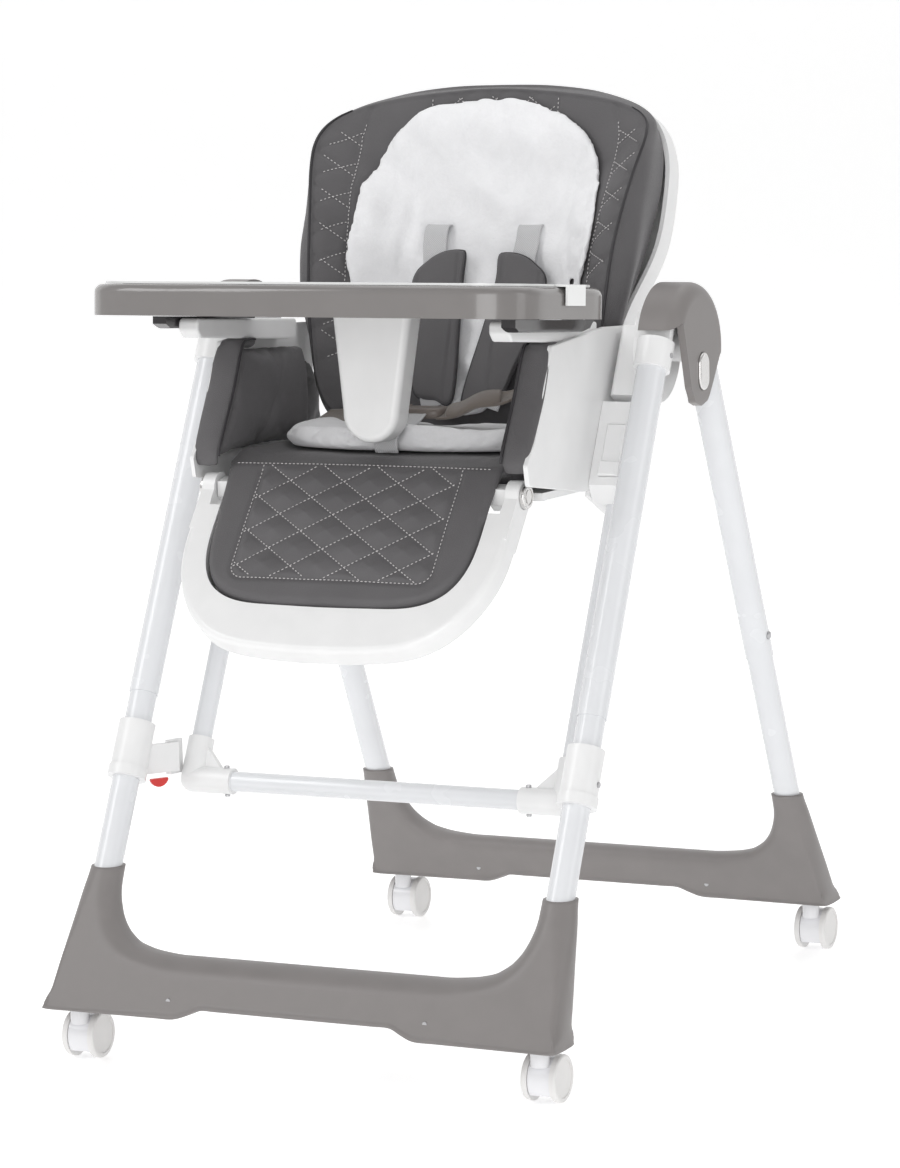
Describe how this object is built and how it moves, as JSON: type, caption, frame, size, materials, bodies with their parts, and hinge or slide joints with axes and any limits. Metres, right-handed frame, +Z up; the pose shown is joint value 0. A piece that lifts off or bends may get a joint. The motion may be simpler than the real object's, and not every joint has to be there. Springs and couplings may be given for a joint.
{
  "type": "baby high chair",
  "caption": "Folding high chair on casters with a height-adjustable padded seat, reclining back, swinging quilted footrest, safety harness and sliding tray.",
  "frame": {"origin": "on the floor under the middle of the chair", "axes": "+Z up, the child faces -Y, +X across the chair to the left hand of the seated child"},
  "size_m": [0.602, 0.8716, 1.0237],
  "materials": {
    "white_tube": "gloss powder coat",
    "grey_plastic": "satin moulded",
    "white_plastic": "satin gloss",
    "white_gloss": "gloss",
    "grey_gloss": "gloss",
    "dark_gloss": "gloss",
    "steel": "satin",
    "silver": "satin",
    "red_plastic": "gloss",
    "caster_white": "gloss",
    "wheel_white": "satin",
    "leatherette": "soft grain",
    "plush": "short plush",
    "strap_grey": "woven",
    "belt_taupe": "woven",
    "buckle_taupe": "satin"
  },
  "bodies": {
    "frame": {"front_legs_upper": "white_tube", "front_legs_lower": "white_tube", "front_foot": "grey_plastic", "front_hub_left": "white_plastic", "front_hub_right": "white_plastic", "hub_bolts": "steel", "seat_rails": "white_tube", "crossbar": "white_tube", "elbows": "white_plastic", "leg_clamp_left": "white_plastic", "leg_clamp_right": "white_plastic", "rail_brackets": "white_plastic", "frame_screws": "steel"},
    "rear_frame": {"rear_legs_upper": "white_tube", "rear_legs_lower": "white_tube", "rear_foot": "grey_plastic", "rear_foot_screws": "steel", "hub_cap_left": "grey_plastic", "hub_cap_right": "grey_plastic"},
    "seat": {"seat_shell": "white_plastic", "slider_left": "white_plastic", "slider_right": "white_plastic", "arm_rests": "white_plastic", "seat_fasteners": "steel", "seat_cushion": "leatherette", "side_bolsters": "leatherette", "insert_seat": "plush", "waist_belt": "belt_taupe", "buckle": "buckle_taupe", "crotch_strap": "strap_grey"},
    "backrest": {"back_shell": "white_plastic", "back_pad": "leatherette", "back_wings": "leatherette", "insert_back": "plush", "shoulder_harness": "strap_grey"},
    "footrest": {"footrest_frame": "white_plastic", "footrest_pad": "leatherette"},
    "tray": {"tray_base": "grey_gloss", "crotch_post": "white_plastic"},
    "tray_liner": {"tray_liner": "white_gloss"},
    "recline_lever": {"recline_lever": "dark_gloss"},
    "fold_latch": {"fold_latch": "red_plastic"},
    "fold_button_right": {"fold_button_right": "silver"},
    "leg_snap_right": {"leg_snap_right": "steel"},
    "height_lever_right": {"height_lever_right": "white_plastic"},
    "footrest_button_right": {"footrest_button_right": "silver"},
    "tray_trigger_right": {"tray_trigger_right": "dark_gloss"},
    "fold_button_left": {"fold_button_left": "silver"},
    "leg_snap_left": {"leg_snap_left": "steel"},
    "height_lever_left": {"height_lever_left": "white_plastic"},
    "footrest_button_left": {"footrest_button_left": "silver"},
    "tray_trigger_left": {"tray_trigger_left": "dark_gloss"},
    "caster_front_right": {"caster_hood_front_right": "caster_white"},
    "wheels_front_right": {"caster_wheels_front_right": "wheel_white"},
    "caster_front_left": {"caster_hood_front_left": "caster_white"},
    "wheels_front_left": {"caster_wheels_front_left": "wheel_white"},
    "caster_rear_right": {"caster_hood_rear_right": "caster_white"},
    "wheels_rear_right": {"caster_wheels_rear_right": "wheel_white"},
    "caster_rear_left": {"caster_hood_rear_left": "caster_white"},
    "wheels_rear_left": {"caster_wheels_rear_left": "wheel_white"}
  },
  "joints": [
    {"name": "fold", "type": "hinge", "parent": "frame", "child": "rear_frame", "pos_m": [0, -0.0095, 0.745], "axis": [-1, 0, 0], "range_deg": [0, 42]},
    {"name": "seat_height", "type": "slide", "parent": "frame", "child": "seat", "axis": [0, -0.4426, -0.8967], "range_m": [0, 0.27]},
    {"name": "recline", "type": "hinge", "parent": "seat", "child": "backrest", "pos_m": [0, 0.0085, 0.64], "axis": [-1, 0, 0], "range_deg": [0, 40]},
    {"name": "footrest_tilt", "type": "hinge", "parent": "seat", "child": "footrest", "pos_m": [0, -0.2395, 0.604], "axis": [-1, 0, 0], "range_deg": [-38, 48]},
    {"name": "tray_slide", "type": "slide", "parent": "seat", "child": "tray", "axis": [0, -0.9982, 0.0593], "range_m": [0, 0.1]},
    {"name": "liner_lift", "type": "slide", "parent": "tray", "child": "tray_liner", "axis": [0, 0.0593, 0.9982], "range_m": [0, 0.1]},
    {"name": "recline_squeeze", "type": "slide", "parent": "backrest", "child": "recline_lever", "axis": [0, 0.3007, 0.9537], "range_m": [0, 0.01], "stiffness_N_per_m": 400},
    {"name": "fold_latch_push", "type": "slide", "parent": "frame", "child": "fold_latch", "axis": [0, 0, 1], "range_m": [0, 0.003], "stiffness_N_per_m": 200},
    {"name": "fold_button_push_right", "type": "slide", "parent": "rear_frame", "child": "fold_button_right", "axis": [-1, 0, 0], "range_m": [0, 0.0018], "stiffness_N_per_m": 500},
    {"name": "leg_snap_push_right", "type": "slide", "parent": "rear_frame", "child": "leg_snap_right", "axis": [-1, 0, 0], "range_m": [0, 0.002], "stiffness_N_per_m": 500},
    {"name": "height_squeeze_right", "type": "slide", "parent": "seat", "child": "height_lever_right", "axis": [0, 0.8967, -0.4426], "range_m": [0, 0.004], "stiffness_N_per_m": 500},
    {"name": "footrest_button_push_right", "type": "slide", "parent": "footrest", "child": "footrest_button_right", "axis": [-1, 0, 0], "range_m": [0, 0.002], "stiffness_N_per_m": 500},
    {"name": "tray_trigger_pull_right", "type": "slide", "parent": "tray", "child": "tray_trigger_right", "axis": [1, 0, 0], "range_m": [0, 0.006], "stiffness_N_per_m": 400},
    {"name": "fold_button_push_left", "type": "slide", "parent": "rear_frame", "child": "fold_button_left", "axis": [1, 0, 0], "range_m": [0, 0.0018], "stiffness_N_per_m": 500},
    {"name": "leg_snap_push_left", "type": "slide", "parent": "rear_frame", "child": "leg_snap_left", "axis": [1, 0, 0], "range_m": [0, 0.002], "stiffness_N_per_m": 500},
    {"name": "height_squeeze_left", "type": "slide", "parent": "seat", "child": "height_lever_left", "axis": [0, 0.8967, -0.4426], "range_m": [0, 0.004], "stiffness_N_per_m": 500},
    {"name": "footrest_button_push_left", "type": "slide", "parent": "footrest", "child": "footrest_button_left", "axis": [1, 0, 0], "range_m": [0, 0.002], "stiffness_N_per_m": 500},
    {"name": "tray_trigger_pull_left", "type": "slide", "parent": "tray", "child": "tray_trigger_left", "axis": [-1, 0, 0], "range_m": [0, 0.006], "stiffness_N_per_m": 400},
    {"name": "swivel_front_right", "type": "hinge", "parent": "frame", "child": "caster_front_right", "pos_m": [0.27, -0.40831, 0.059], "axis": [0, 0, 1], "continuous": true},
    {"name": "roll_front_right", "type": "hinge", "parent": "caster_front_right", "child": "wheels_front_right", "pos_m": [0.27, -0.38831, 0.025], "axis": [1, 0, 0], "continuous": true},
    {"name": "swivel_front_left", "type": "hinge", "parent": "frame", "child": "caster_front_left", "pos_m": [-0.27, -0.40831, 0.059], "axis": [0, 0, 1], "continuous": true},
    {"name": "roll_front_left", "type": "hinge", "parent": "caster_front_left", "child": "wheels_front_left", "pos_m": [-0.27, -0.38831, 0.025], "axis": [1, 0, 0], "continuous": true},
    {"name": "swivel_rear_right", "type": "hinge", "parent": "rear_frame", "child": "caster_rear_right", "pos_m": [0.27, 0.38931, 0.059], "axis": [0, 0, 1], "continuous": true},
    {"name": "roll_rear_right", "type": "hinge", "parent": "caster_rear_right", "child": "wheels_rear_right", "pos_m": [0.27, 0.40931, 0.025], "axis": [1, 0, 0], "continuous": true},
    {"name": "swivel_rear_left", "type": "hinge", "parent": "rear_frame", "child": "caster_rear_left", "pos_m": [-0.27, 0.38931, 0.059], "axis": [0, 0, 1], "continuous": true},
    {"name": "roll_rear_left", "type": "hinge", "parent": "caster_rear_left", "child": "wheels_rear_left", "pos_m": [-0.27, 0.40931, 0.025], "axis": [1, 0, 0], "continuous": true}
  ]
}
